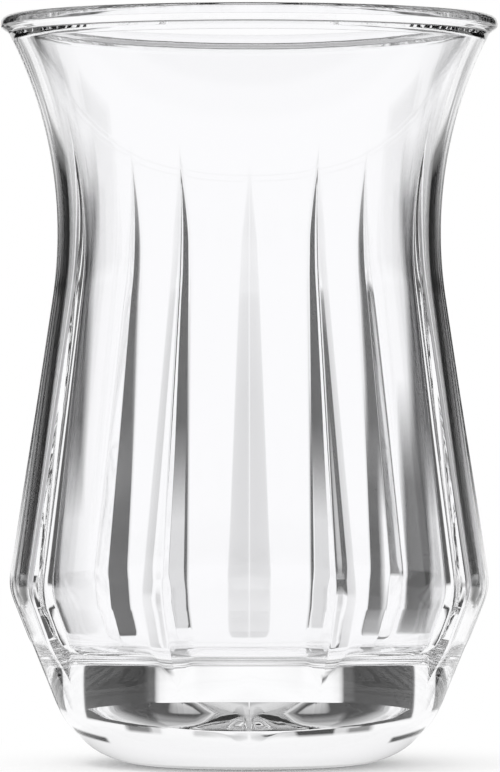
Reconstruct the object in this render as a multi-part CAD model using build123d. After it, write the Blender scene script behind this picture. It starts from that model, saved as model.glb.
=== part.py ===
from build123d import *
import math
import os

# Tulip tea glass, one moulding of clear glass. Millimetres, +Z up, origin on the table under the axis.

# Outside of the bowl
height = 93.8
rim_radius = 31.25
waist_radius = 24.1
waist_height = 66.6
waist_bend_radius = 50.0
belly_radius = 30.1
belly_height = 22.0
belly_rounding = 7.0
heel_radius = 21.2
heel_rounding = 12.0

# Rolled lip
lip_bead_radius = 0.95

# Wall and inside
lip_wall = 1.35
waist_wall = 1.45
belly_wall = 2.3
inside_belly_rounding = 7.0
base_thickness = 13.8
floor_edge_radius = 24.5
floor_rounding = 3.5

# Standing ring and the hollow under the base
ring_inner_radius = 9.5
hollow_depth = 0.6

# Raised spear ribs, roof-shaped, each fading out into the wall at both ends
rib_count = 9
rib_slope = 0.33
rib_tip_height = 88.0
rib_waist_rise = 0.32
rib_belly_rise = 0.9
rib_heel_height = 15.0
rib_heel_rise = 0.85
rib_heel_rounding = 5.0
rib_end_height = 9.5
rib_bury = 0.35
rib_half_run = 8.0
rib_core_radius = 6.0
first_rib_angle = 90.0

lip_height = height - lip_bead_radius
lip_center_radius = rim_radius - lip_bead_radius
above_rim = height + lip_bead_radius


def flare_bend(rise, run):
    """Radius of an arc that leaves the waist upright and gains this much radius over this much height."""
    return (rise**2 + run**2) / (2 * rise)


def arc_radius_at(start_radius, bend, drop):
    """Radius reached by an arc of this bend that is upright at start_radius, this far above or below it."""
    return start_radius + bend - math.sqrt(bend**2 - drop**2)


def bead_flare_bend():
    """Bend of the outside flare whose offset by the wall touches the inner side of the lip bead."""
    out = lip_center_radius - waist_radius
    up = lip_height - waist_height
    gap = lip_wall - lip_bead_radius
    return (out**2 + up**2 - gap**2) / (2 * (out + gap))


def bowl_tangent(start_radius, bend, corner_radius, corner_height):
    """Point where a straight line from the corner leaves the bend under the waist."""
    center_radius = start_radius + bend
    across = center_radius - corner_radius
    down = waist_height - corner_height
    reach = math.hypot(across, down)
    turn = math.atan2(down, across) - math.acos(bend / reach)
    return (center_radius - bend * math.cos(turn), waist_height - bend * math.sin(turn))


outside_bend = bead_flare_bend()
cone_run = (belly_radius - heel_radius) / belly_height
inside_waist = waist_radius - waist_wall
inside_belly = belly_radius - belly_wall
inside_lip = arc_radius_at(waist_radius, outside_bend, lip_height - waist_height) - lip_wall
inside_bend = flare_bend(inside_lip - inside_waist, lip_height - waist_height)


def upright(edges, corners):
    """A face standing on the radial plane, from edges drawn as (radius, height), with corners rounded."""
    face = make_face(edges)
    for (radius, level), rounding in corners:
        place = Vector(radius, level)
        corner = min(face.vertices(), key=lambda v: (v.center() - place).length)
        face = fillet(corner, rounding)
    return Plane.XZ * face


def flared_side(start_radius, bend, top_height, corner):
    """Edges from the top of a flare down through the waist and the bowl to a corner, and the top point."""
    top = (arc_radius_at(start_radius, bend, top_height - waist_height), top_height)
    halfway = (top_height + waist_height) / 2
    middle = (arc_radius_at(start_radius, bend, halfway - waist_height), halfway)
    waist = (start_radius, waist_height)
    leave = bowl_tangent(start_radius, waist_bend_radius, *corner)
    upper_arc = ThreePointArc(top, middle, waist)
    half_drop = (waist_height - leave[1]) / 2
    bend_middle = (arc_radius_at(start_radius, waist_bend_radius, half_drop), waist_height - half_drop)
    lower_arc = ThreePointArc(waist, bend_middle, leave)
    return [upper_arc, lower_arc, Line(leave, corner)], top


def outside_solid():
    """The glass filled solid: flare, waist, bowl, base with its hollow, and the rolled lip."""
    belly = (belly_radius, belly_height)
    heel = (heel_radius, 0)
    edges, top = flared_side(waist_radius, outside_bend, lip_height, belly)
    edges += Polyline(belly, heel, (ring_inner_radius, 0)).edges()
    dish = flare_bend(hollow_depth, ring_inner_radius)
    dish_middle = arc_radius_at(0, dish, ring_inner_radius / 2)
    hollow_middle = (ring_inner_radius / 2, hollow_depth - dish_middle)
    edges += [ThreePointArc((ring_inner_radius, 0), hollow_middle, (0, hollow_depth))]
    edges += Polyline((0, hollow_depth), (0, lip_height), top).edges()
    outline = upright(edges, [(belly, belly_rounding), (heel, heel_rounding)])
    bead = Plane.XZ * Pos(lip_center_radius, lip_height) * Circle(lip_bead_radius)
    return revolve(outline, Axis.Z) + revolve(bead, Axis.Z)


def rib():
    """One spear rib over +X: a ridge line in the radial plane with a plane face falling away each side."""
    tip_radius = arc_radius_at(waist_radius, outside_bend, rib_tip_height - waist_height) - rib_bury
    ridge_waist = waist_radius + rib_waist_rise
    ridge_bend = flare_bend(tip_radius - ridge_waist, rib_tip_height - waist_height)
    belly = (belly_radius + rib_belly_rise, belly_height)
    low = (heel_radius + cone_run * rib_heel_height + rib_heel_rise, rib_heel_height)
    end = (heel_radius + cone_run * rib_end_height - rib_bury, rib_end_height)
    edges, tip = flared_side(ridge_waist, ridge_bend, rib_tip_height, belly)
    core = [(rib_core_radius, rib_end_height), (rib_core_radius, rib_tip_height)]
    edges += Polyline(belly, low, end, *core, tip).edges()
    ridge = upright(edges, [(belly, belly_rounding), (low, rib_heel_rounding)])
    faces = [Vector(-rib_slope, side, 0) * rib_half_run for side in (1, -1)]
    halves = [Solid.extrude(ridge.face(), fall) for fall in faces]
    return halves[0] + halves[1]


def cavity():
    """The space inside: flare, waist and bowl, drawn in under the belly to a flat floor."""
    belly = (inside_belly, belly_height)
    floor_edge = (floor_edge_radius, base_thickness)
    edges, top = flared_side(inside_waist, inside_bend, above_rim, belly)
    edges += Polyline(belly, floor_edge, (0, base_thickness), (0, above_rim), top).edges()
    corners = [(belly, inside_belly_rounding), (floor_edge, floor_rounding)]
    return revolve(upright(edges, corners), Axis.Z)


def glass():
    """The whole glass as one piece."""
    solid = outside_solid()
    for number in range(rib_count):
        solid += Rot(0, 0, first_rib_angle + number * 360 / rib_count) * rib()
    return solid - cavity()


os.makedirs("parts", exist_ok=True)
export_step(glass(), "parts/glass.step")
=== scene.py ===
import bpy
import math
import numpy as np
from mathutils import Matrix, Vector, noise


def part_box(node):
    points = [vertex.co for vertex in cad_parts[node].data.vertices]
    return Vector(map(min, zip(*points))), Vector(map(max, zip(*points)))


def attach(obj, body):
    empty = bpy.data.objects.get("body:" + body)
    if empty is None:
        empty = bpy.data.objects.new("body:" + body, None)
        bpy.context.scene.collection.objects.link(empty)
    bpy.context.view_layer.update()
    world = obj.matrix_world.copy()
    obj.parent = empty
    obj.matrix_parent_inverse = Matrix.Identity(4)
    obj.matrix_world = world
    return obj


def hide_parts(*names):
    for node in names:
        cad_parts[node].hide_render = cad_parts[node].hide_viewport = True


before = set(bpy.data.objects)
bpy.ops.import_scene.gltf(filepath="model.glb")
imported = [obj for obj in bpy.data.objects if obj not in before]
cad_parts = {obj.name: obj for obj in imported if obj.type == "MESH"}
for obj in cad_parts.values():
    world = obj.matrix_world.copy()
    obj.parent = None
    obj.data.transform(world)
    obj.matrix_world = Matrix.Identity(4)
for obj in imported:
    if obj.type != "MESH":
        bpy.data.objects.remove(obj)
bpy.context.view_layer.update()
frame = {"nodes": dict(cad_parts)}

mm = 0.001
print("frame loaded:", ", ".join(frame["nodes"]))


def hexColor(code):  # sRGB hex to linear rgba
    parts = [int(code[i:i + 2], 16) / 255 for i in (1, 3, 5)]
    return [p / 12.92 if p <= 0.04045 else ((p + 0.055) / 1.055) ** 2.4 for p in parts] + [1.0]


def addNode(tree, kind, settings=None, links=None):
    node = tree.nodes.new(kind)
    for name, value in (settings or {}).items():
        if isinstance(name, int) or name in node.inputs:
            node.inputs[name].default_value = value
        else:
            setattr(node, name, value)
    for name, socket in (links or {}).items():
        tree.links.new(socket, node.inputs[name])
    return node


def newMaterial(name):
    material = bpy.data.materials.new(name)
    material.use_nodes = True
    material.node_tree.nodes.clear()
    return material, material.node_tree


def addMesh(name, points, faces, material):
    mesh = bpy.data.meshes.new(name)
    mesh.from_pydata([tuple(p) for p in points], [], faces)
    mesh.polygons.foreach_set("use_smooth", [True] * len(mesh.polygons))
    mesh.materials.append(material)
    piece = bpy.data.objects.new(name, mesh)
    bpy.context.scene.collection.objects.link(piece)
    return piece


# pressed soda-lime glass: clear as water, near colourless even through the thick base,
# fire-polished to a full shine, with a faint ripple all over
glassLook = {
    "tint": "#FDFDFE",
    "ior": 1.52,
    "roughness": 0.0,
    "rippleSize": 9.0,  # mm from one ripple to the next
    "rippleDepth": 0.004,  # mm
}


def pressedGlass():
    look = glassLook
    material, tree = newMaterial("pressed_soda_lime_glass")
    place = addNode(tree, "ShaderNodeTexCoord")
    ripple = addNode(tree, "ShaderNodeTexNoise",
                     {"Scale": 1 / (look["rippleSize"] * mm), "Detail": 1.0, "Roughness": 0.4},
                     {"Vector": place.outputs["Object"]})
    bump = addNode(tree, "ShaderNodeBump", {"Strength": 1.0, "Distance": look["rippleDepth"] * mm},
                   {"Height": ripple.outputs[0]})
    glass = addNode(tree, "ShaderNodeBsdfPrincipled",
                    {"Base Color": hexColor(look["tint"]), "Roughness": look["roughness"],
                     "IOR": look["ior"], "Transmission Weight": 1.0},
                    {"Normal": bump.outputs[0]})
    addNode(tree, "ShaderNodeOutputMaterial", links={"Surface": glass.outputs[0]})
    return material


# the glass, millimetres; the height and the rim come from the solid
glassShape = {
    "lipBead": 0.95,  # radius of the rolled lip
    "waistRadius": 24.1,
    "waistHeight": 66.6,
    "waistBend": 54.5,
    "waistWall": 1.45,
    "belly": (30.1, 22.0, 7.0),  # radius, height, rounding
    "bellyWall": 2.3,
    "insideRounding": 7.0,  # of the inside, behind the belly
    "heel": (21.2, 0.0, 12.0),
    "ring": (9.5, 0.0, 1.2),  # inner edge of the standing ring
    "hollowDepth": 0.6,
    "hollowTurn": (0.55, 2.0),  # where the hollow turns down and how softly, in radii of the ring
    "floorEdge": (24.5, 13.8, 3.5),
    "longestRow": 1.3,  # spacing of the mesh's rows on straight runs
    "turnPerRow": 6.0,  # degrees on bends
    "waviness": 0.03,  # of the inside, left by the plunger and the blow
    "wavinessSize": 16.0,
    "wavinessDraw": 0.6,  # the waves are drawn out upright by one over this
    "calmRadius": 6.0,  # the waves die down from here to the axis
}
# the rolled lip, in radii of its bead
lipShape = {
    "flareEnd": 1.2,  # below the middle of the bead
    "underRounding": 0.8,
    "sideDrop": 0.45,  # below the middle of the bead
    "sideRounding": 0.5,
    "outerRounding": 0.98,
    "innerRounding": 0.9,
}
ribShape = {
    "count": 9,
    "first": 90.0,  # degrees; one rib stands at the back
    "halfRun": 3.5,  # half width for each millimetre of rise
    # height, rise of the ridge over the round wall, rounding; under the wall at both ends
    "ridge": [(9.5, -0.35, 0), (15.0, 0.85, 5.0), (22.0, 0.9, 8.0), (66.6, 0.32, 30.0), (88.0, -0.35, 0)],
    "buried": -0.35,
    "longestStep": 1.0,  # along the ridge
    "turnPerStep": 3.0,  # degrees
    "ridgeSoftness": 0.01,
    "edgeSoftness": 0.05,
    "narrowest": 0.4,  # half width of the columns kept for a rib where it has run out
    "acrossRib": (0, 0.015, 0.12, 0.24, 0.45, 0.7, 0.86, 0.94, 1.0),
    "acrossPanel": (0.05, 0.14, 0.3, 0.5, 0.75, 1.0),
}


def roundedPath(corners, longest, turnStep):
    # a line through (x, y, rounding) corners with an arc at each rounded one, cut into short steps
    bare = [np.array(c[:2], float) for c in corners]
    path = [bare[0]]

    def walkTo(end):  # in even steps, none over the longest by more than a hair
        start = path[-1]
        count = max(1, math.ceil(np.linalg.norm(end - start) / longest - 0.01))
        path.extend(start + (end - start) * i / count for i in range(1, count + 1))

    for before, here, after, (_, _, rounding) in zip(bare, bare[1:], bare[2:], corners[1:-1]):
        back = (before - here) / np.linalg.norm(before - here)
        ahead = (after - here) / np.linalg.norm(after - here)
        between = math.acos(max(-1.0, min(1.0, float(back @ ahead))))
        walkTo(here + back * rounding / math.tan(between / 2))
        if rounding > 0:
            turn = math.pi - between
            middle = back + ahead
            center = here + middle / np.linalg.norm(middle) * rounding / math.sin(between / 2)
            arm = path[-1] - center
            side = np.sign(back[0] * ahead[1] - back[1] * ahead[0]) * -1
            count = max(2, math.ceil(turn / math.radians(turnStep)), math.ceil(turn * rounding / longest))
            for i in range(1, count + 1):
                a = side * turn * i / count
                spin = np.array([[math.cos(a), -math.sin(a)], [math.sin(a), math.cos(a)]])
                path.append(center + spin @ arm)
    walkTo(bare[-1])
    return np.array(path)


def neckCorner(radius, height, bend, top, foot):
    # where the tangent at the top of the flare meets the tangent that runs down to the foot
    center = np.array([radius + bend, height])
    rise = math.asin((top - height) / bend)
    lip = center + bend * np.array([-math.cos(rise), math.sin(rise)])
    flare = np.array([math.sin(rise), math.cos(rise)])
    toFoot = center - np.array(foot)
    reach = np.hypot(*toFoot)
    turn = math.atan2(toFoot[1], toFoot[0]) - math.acos(bend / reach)
    leave = center - bend * np.array([math.cos(turn), math.sin(turn)])
    down = np.array(foot) - leave
    across = np.linalg.solve(np.array([flare, -down]).T, leave - lip)
    corner = lip + flare * across[0]
    return (corner[0], corner[1], bend), lip


def glassOutline(height, rim):
    # one line from under the base, up the outside, over the lip and down the inside to the floor
    s = glassShape
    bead = s["lipBead"]
    lip = {name: bead * radii for name, radii in lipShape.items()}
    beadHeight = height - bead
    bellyRadius, bellyHeight, _ = s["belly"]
    neckOut, lipOut = neckCorner(s["waistRadius"], s["waistHeight"], s["waistBend"],
                                 beadHeight - lip["flareEnd"], (bellyRadius, bellyHeight))
    insideFoot = (bellyRadius - s["bellyWall"], bellyHeight)
    neckIn, lipIn = neckCorner(s["waistRadius"] - s["waistWall"], s["waistHeight"],
                               s["waistBend"], beadHeight, insideFoot)
    ringRadius, floorHeight = s["ring"][0], s["floorEdge"][1]
    turnAt, turnRounding = s["hollowTurn"]
    corners = [
        (0, s["hollowDepth"], 0), (ringRadius * turnAt, s["hollowDepth"], ringRadius * turnRounding),
        s["ring"], s["heel"], s["belly"], neckOut,
        (lipOut[0], lipOut[1], lip["underRounding"]),
        (rim, beadHeight - lip["sideDrop"], lip["sideRounding"]),
        (rim, height, lip["outerRounding"]), (lipIn[0], height, lip["innerRounding"]),
        neckIn, (*insideFoot, s["insideRounding"]), s["floorEdge"], (0, floorHeight, 0),
    ]
    path = roundedPath(corners, s["longestRow"], s["turnPerRow"])
    return path, int(np.argmax(path[:, 1]))


def ribbedRing(radius, height, rise):
    # one row of the outside: round between the ribs, two falling faces on each rib
    r = ribShape
    sector = math.pi / r["count"]
    edge = max(r["halfRun"] * rise, r["narrowest"]) / radius
    steps = [edge * t for t in r["acrossRib"]] + [edge + (sector - edge) * t for t in r["acrossPanel"]]
    angles = np.array([-a for a in steps[-2:0:-1]] + steps)
    soft = r["ridgeSoftness"] / radius
    away = np.sqrt(angles ** 2 + soft ** 2) - soft
    gap = rise - away * radius / r["halfRun"]
    out = radius + (gap + np.sqrt(gap ** 2 + r["edgeSoftness"] ** 2)) / 2
    if rise <= r["buried"]:
        out = np.full_like(angles, radius)
    points = []
    for number in range(r["count"]):
        turn = math.radians(r["first"] + number * 360 / r["count"])
        points += [(p * math.cos(turn + a), p * math.sin(turn + a), height) for p, a in zip(out, angles)]
    return points


def waveOf(x, y, z):
    s = glassShape
    return s["waviness"] * noise.noise(Vector((x, y, z * s["wavinessDraw"])) / s["wavinessSize"])


def buildGlass(material):
    _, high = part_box("glass")
    height, rim = high.z / mm, min(high.x, high.y) / mm
    path, top = glassOutline(height, rim)
    ridge = roundedPath(ribShape["ridge"], ribShape["longestStep"], ribShape["turnPerStep"])
    points = []
    for i, (radius, level) in enumerate(path[1:-1], 1):
        rise = float(np.interp(level, ridge[:, 0], ridge[:, 1])) if i < top else ribShape["buried"]
        ring = ribbedRing(radius, level, rise)
        if i > top:
            bent = [1 + waveOf(*p) / max(radius, glassShape["calmRadius"]) for p in ring]
            ring = [(x * b, y * b, z) for (x, y, z), b in zip(ring, bent)]
        points += ring
    around = len(points) // (len(path) - 2)
    faces = []
    for row in range(len(path) - 3):
        for i in range(around):
            j = (i + 1) % around
            a, b = row * around, (row + 1) * around
            faces.append((a + i, a + j, b + j, b + i))
    last = (len(path) - 3) * around
    under, floor = len(points), len(points) + 1
    points += [(0, 0, path[0][1]), (0, 0, path[-1][1])]
    faces += [(under, (i + 1) % around, i) for i in range(around)]
    faces += [(floor, last + i, last + (i + 1) % around) for i in range(around)]
    glass = addMesh("tea_glass", np.array(points) * mm, faces, material)
    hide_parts("glass")
    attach(glass, "root")
    print("glass:", len(path), "rows of", around, "columns")


buildGlass(pressedGlass())

# a white table that runs out of sight in a white room; black and grey cards stand round the room,
# out of the camera's view, and draw the dark edges of clear glass
setLook = {
    "table": "#F4F4F4",
    "tableSize": 8.0,  # metres
    "tableDrop": 0.05,  # mm, just clear of the foot
    "shadowReach": (0.013, 0.06),  # metres from the axis over which the shadow gives way to white
    "shadowFall": 4.0,  # the higher, the tighter round the foot
    "roomLevel": 0.7,  # light on the table from the room
    "bandSoftness": 0.9,  # degrees
    "cardGrid": (60, 12),  # faces across and up each near card
    "cardDrop": 0.02,  # mm, so that none touches the foot
}
softbox = {
    "size": (0.6, 0.4),  # metres
    "watts": 6.0,
    "place": (-0.5, -0.3, 1.1),
    "aim": (0, 0, 0.05),
}
# soft-edged dark cards close to the glass, and a painted shadow round its foot (a grey ring lying on
# the table), seen only in the glass: degrees round the glass, lower and upper edge (radius and height,
# metres), share of it that fades at each side and at each edge, grey
nearCardsAndFootShadow = {
    "near_left": ((106, 120), (0.12, 0.026), (0.12, 0.083), (0.12, 0.22), "#050505"),
    "near_right": ((60, 74), (0.12, 0.026), (0.12, 0.083), (0.12, 0.22), "#050505"),
    "low_right": ((70, 76), (0.12, 0.0), (0.12, 0.046), (0.2, 0.3), "#101010"),
    # painted shadow: a grey ring on the table round the foot, seen only in the glass
    "painted_foot_shadow": ((0, 360), (0.0125, 0.0), (0.0275, 0.0), (0.1, 0.3), "#A8A8A8"),
}
# the cards of the room beyond, as the glass sees them: degrees to the side from the back, level there
sideCards = [(42, 0.02), (43, 1), (57, 1), (58, 0.02), (80, 0.02), (81, 1)]
backLeft = [(5.5, 1), (7, 0.8), (9.2, 0.65), (9.7, 0.02), (17, 0.02), (17.5, 0.7)]
backRight = [(5.5, 1), (7, 0.8), (9, 0.65), (10.7, 0.65), (11.3, 1), (17.5, 1), (18, 0.7)]
lowSides = [(20, 0.7), (21, 0.25), (26, 0.25), (28, 1)]
midSides = [(23, 0.7), (24, 0.02)] + sideCards
eyeLevel = [(3.5, 1), (7, 0.9), (9.5, 0.8), (10.5, 1), (16, 1), (18, 0.35), (20.8, 0.35), (21.5, 0.02)]
# bands from the floor up: degrees above the table where the band ends, its left,
# and its right where that differs
cardBands = [
    (-18.5, [(0, 1)]),
    (-14.5, [(36, 1), (37.5, 0.02), (60, 0.02), (62, 1)]),
    (-7.5, [(0, 1)]),
    (-3.5, backLeft + lowSides, backRight + lowSides),
    (-1.1, backLeft + midSides, backRight + midSides),
    (2.2, eyeLevel + sideCards),
    (26.0, [(18, 1), (19, 0.02)] + sideCards),
    (28.5, [(10, 1), (12, 0.03), (40, 0.03), (42, 1)]),
    (31.5, [(8, 0.5), (10, 0.25), (26, 0.25), (28, 0.05), (40, 0.05), (42, 1)]),
    (36.0, [(6, 1), (10, 0.5), (42, 0.5), (44, 1)]),
    (46.0, [(6, 0.4), (10, 0.8)]),
    (90.0, [(0, 0.45)]),
]


def whiteTable():
    # matt white laminate: no sheen, and it takes a soft shadow at the foot; the camera sees it
    # run out to plain white
    look = setLook
    material, tree = newMaterial("matt_white_laminate")
    material.cycles.emission_sampling = "NONE"
    paths = addNode(tree, "ShaderNodeLightPath")
    paint = addNode(tree, "ShaderNodeBsdfDiffuse", {"Color": hexColor(look["table"])})
    white = addNode(tree, "ShaderNodeEmission", {"Color": hexColor("#FFFFFF"), "Strength": 1.0})
    place = addNode(tree, "ShaderNodeTexCoord")
    reach = addNode(tree, "ShaderNodeVectorMath", {"operation": "LENGTH"}, {0: place.outputs["Object"]})
    near, far = look["shadowReach"]
    inside = addNode(tree, "ShaderNodeMapRange",
                     {"From Min": near, "From Max": far, "To Min": 1.0, "To Max": 0.0},
                     {"Value": reach.outputs["Value"]})
    share = addNode(tree, "ShaderNodeMath", {"operation": "POWER", 1: look["shadowFall"]},
                    {0: inside.outputs[0]})
    seen = addNode(tree, "ShaderNodeMixShader", None,
                   {0: share.outputs[0], 1: white.outputs[0], 2: paint.outputs[0]})
    whole = addNode(tree, "ShaderNodeMixShader", None,
                    {0: paths.outputs["Is Camera Ray"], 1: paint.outputs[0], 2: seen.outputs[0]})
    addNode(tree, "ShaderNodeOutputMaterial", links={"Surface": whole.outputs[0]})
    return material


def softCardOrPaintedShade(name, turn, lower, upper, fade, code):
    # matt paper card, its grey painted in as a glow at the level it has under the lamps, or the painted
    # shadow ring round the foot; thinning out towards its edges
    material, tree = newMaterial("matt_card_" + name)
    material.cycles.emission_sampling = "NONE"
    cover = addNode(tree, "ShaderNodeAttribute", {"attribute_name": "cover"})
    paper = addNode(tree, "ShaderNodeEmission", {"Color": hexColor(code), "Strength": 1.0})
    clear = addNode(tree, "ShaderNodeBsdfTransparent")
    whole = addNode(tree, "ShaderNodeMixShader", None,
                    {0: cover.outputs["Fac"], 1: clear.outputs[0], 2: paper.outputs[0]})
    addNode(tree, "ShaderNodeOutputMaterial", links={"Surface": whole.outputs[0]})
    across, up = setLook["cardGrid"]
    ring = turn[1] - turn[0] == 360
    points, covers, faces = [], [], []
    for j in range(up + 1):
        v = j / up
        radius, level = (a + (b - a) * v for a, b in zip(lower, upper))
        for i in range(across + 1):
            u = i / across
            t = math.radians(turn[0] + (turn[1] - turn[0]) * u)
            points.append((radius * math.cos(t), radius * math.sin(t), level - setLook["cardDrop"] * mm))
            sideways = 1 if ring else min(u, 1 - u) / fade[0]
            covers.append(min(1, sideways, min(v, 1 - v) / fade[1]))
            if i and j:
                at = j * (across + 1) + i
                faces.append((at - across - 2, at - across - 1, at, at - 1))
    card = addMesh(name, points, faces, material)
    card.data.attributes.new("cover", "FLOAT", "POINT").data.foreach_set("value", covers)
    card.visible_camera = card.visible_diffuse = card.visible_shadow = False


def buildTable():
    half = setLook["tableSize"] / 2
    under = -setLook["tableDrop"] * mm
    corners = [(-half, -half, under), (half, -half, under), (half, half, under), (-half, half, under)]
    table = addMesh("table", corners, [(0, 1, 2, 3)], whiteTable())
    table.visible_glossy = table.visible_transmission = False  # the glass sees the room's own white floor
    for name, card in nearCardsAndFootShadow.items():
        softCardOrPaintedShade(name, *card)


def bandLevel(tree, turn, left, right):
    # the level along one band, from far left over the back to far right
    ramp = addNode(tree, "ShaderNodeValToRGB", None, {0: turn})
    stops = [(-a, v) for a, v in reversed(left)] + list(right)
    marks = ramp.color_ramp.elements
    while len(marks) < len(stops):
        marks.new(0.5)
    for mark, (degrees, level) in zip(marks, stops):
        mark.position = (degrees + 90) / 180
        mark.color = (level, level, level, 1)
    return ramp.outputs[0]


def cardRoom(tree):
    # the level of the room in every direction, band over band
    way = addNode(tree, "ShaderNodeTexCoord")
    parts = addNode(tree, "ShaderNodeSeparateXYZ", None, {0: way.outputs["Generated"]})
    angle = addNode(tree, "ShaderNodeMath", {"operation": "ARCTAN2"},
                    {0: parts.outputs[0], 1: parts.outputs[1]})
    turn = addNode(tree, "ShaderNodeMapRange", {"From Min": -math.pi / 2, "From Max": math.pi / 2},
                   {"Value": angle.outputs[0]})
    lift = addNode(tree, "ShaderNodeMath", {"operation": "ARCSINE"}, {0: parts.outputs[2]})
    soft = setLook["bandSoftness"]
    bands = [bandLevel(tree, turn.outputs[0], sides[0], sides[-1]) for _, *sides in cardBands]
    level = bands[0]
    for (begin, *_), band in zip(cardBands, bands[1:]):
        over = addNode(tree, "ShaderNodeMapRange",
                       {"From Min": math.radians(begin - soft), "From Max": math.radians(begin + soft)},
                       {"Value": lift.outputs[0]})
        mixed = addNode(tree, "ShaderNodeMix", None, {"Factor": over.outputs[0], "A": level, "B": band})
        level = mixed.outputs[0]
    return level


def lightSet():
    world = bpy.data.worlds.new("white_room")
    bpy.context.scene.world = world
    world.use_nodes = True
    tree = world.node_tree
    tree.nodes.clear()
    paths = addNode(tree, "ShaderNodeLightPath")
    mirrored = addNode(tree, "ShaderNodeMath", {"operation": "MAXIMUM"},
                       {0: paths.outputs["Is Glossy Ray"], 1: paths.outputs["Is Transmission Ray"]})
    inGlass = addNode(tree, "ShaderNodeMix", {"A": setLook["roomLevel"]},
                      {"Factor": mirrored.outputs[0], "B": cardRoom(tree)})
    level = addNode(tree, "ShaderNodeMix", {"B": 1.0},
                    {"Factor": paths.outputs["Is Camera Ray"], "A": inGlass.outputs[0]})
    room = addNode(tree, "ShaderNodeBackground", {"Color": hexColor("#FFFFFF")},
                   {"Strength": level.outputs[0]})
    addNode(tree, "ShaderNodeOutputWorld", links={"Surface": room.outputs[0]})
    lamp = bpy.data.lights.new("softbox", "AREA")
    lamp.shape = "RECTANGLE"
    lamp.size, lamp.size_y = softbox["size"]
    lamp.energy = softbox["watts"]
    box = bpy.data.objects.new("softbox", lamp)
    box.visible_glossy = box.visible_transmission = False  # no patch of light on the neck
    box.location = softbox["place"]
    box.rotation_euler = (Vector(softbox["aim"]) - box.location).to_track_quat("-Z", "Y").to_euler()
    bpy.context.scene.collection.objects.link(box)


buildTable()
lightSet()
print("set built")

# the photo's view: level, at half the glass's height
photoView = {
    "distance": 0.785,  # metres from the axis
    "elevation": 0.0,  # degrees
    "fieldWidth": 0.06285,  # metres across the picture at the axis
    "aim": (0.0001, 0.0, 0.0474),
    "sensor": 36.0,  # mm
    "clipEnd": 50,  # metres, well past the table
}
# light turns many times inside the thick base and the lip
lightSteps = {"max_bounces": 32, "glossy_bounces": 22, "transmission_bounces": 32}


def addCamera():
    v = photoView
    data = bpy.data.cameras.new("photo_camera")
    data.sensor_fit = "HORIZONTAL"
    data.sensor_width = v["sensor"]
    data.lens = v["sensor"] * v["distance"] / v["fieldWidth"]
    data.dof.use_dof = False
    data.clip_end = v["clipEnd"]
    camera = bpy.data.objects.new("photo_camera", data)
    lift = math.radians(v["elevation"])
    aim = Vector(v["aim"])
    camera.location = aim + Vector((0, -math.cos(lift), math.sin(lift))) * v["distance"]
    camera.rotation_euler = (aim - camera.location).to_track_quat("-Z", "Y").to_euler()
    bpy.context.scene.collection.objects.link(camera)
    bpy.context.scene.camera = camera


addCamera()
bpy.context.scene.view_settings.view_transform = "Standard"
for name, count in lightSteps.items():
    setattr(bpy.context.scene.cycles, name, count)
print("camera set")
